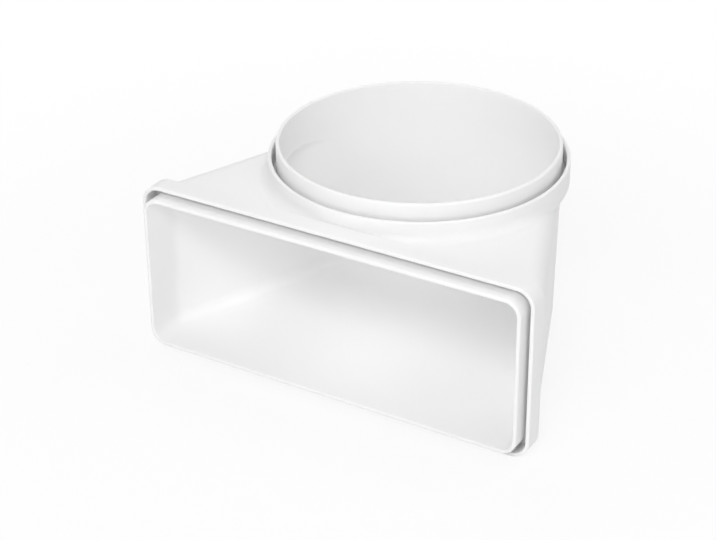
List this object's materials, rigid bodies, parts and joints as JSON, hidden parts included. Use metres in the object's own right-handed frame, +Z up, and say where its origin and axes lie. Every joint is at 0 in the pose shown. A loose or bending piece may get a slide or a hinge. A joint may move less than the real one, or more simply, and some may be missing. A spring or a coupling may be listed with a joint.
{
  "type": "duct elbow",
  "caption": "Moulded right-angle duct elbow that turns a flat rectangular duct into a round pipe, with a grooved socket at each port and a tapered, round-backed body.",
  "frame": {"origin": "on the round port's axis, at the seat where the pipe's end stops, level with the flat top", "axes": "+Z up along the round port's axis and out of its mouth, -Y out of the rectangular port, X across the duct; symmetric about X = 0"},
  "size_m": [0.225, 0.1762, 0.1096],
  "materials": {
    "white_plastic": "smooth, satin"
  },
  "bodies": {
    "root": {"duct_elbow": "white_plastic"}
  },
  "joints": []
}
